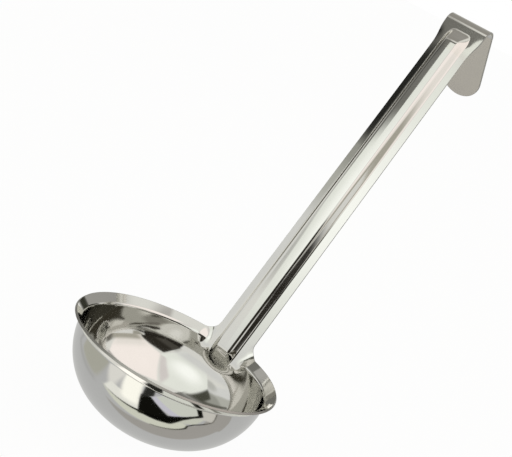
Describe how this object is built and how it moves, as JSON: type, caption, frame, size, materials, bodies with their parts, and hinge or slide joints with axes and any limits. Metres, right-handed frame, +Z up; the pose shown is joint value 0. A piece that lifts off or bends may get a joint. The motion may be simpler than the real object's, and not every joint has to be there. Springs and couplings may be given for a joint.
{
  "type": "soup ladle",
  "caption": "One-piece pressed steel ladle: round bowl with a flared lip, straight ribbed handle leaning back, and a flat hook at its top.",
  "frame": {"origin": "on the axis that the hook is bent round, in the ladle's plane of symmetry: the line it hangs from", "axes": "+Z up, along the bowl's axis and out of its mouth; +Y from the bowl towards the handle's back; +X along the hook's axis"},
  "size_m": [0.0868, 0.1773, 0.1975],
  "materials": {
    "polished_steel": "stainless steel polished to a mirror, with faint polishing lines",
    "satin_steel": "stainless steel, satin"
  },
  "bodies": {
    "root": {"bowl": "polished_steel", "rim_lip": "polished_steel", "neck": "polished_steel", "handle_rib": "polished_steel", "handle_flange_left": "polished_steel", "handle_flange_right": "polished_steel", "hook_plate": "satin_steel", "hook_bend": "satin_steel", "hook_tail": "satin_steel"}
  },
  "joints": []
}
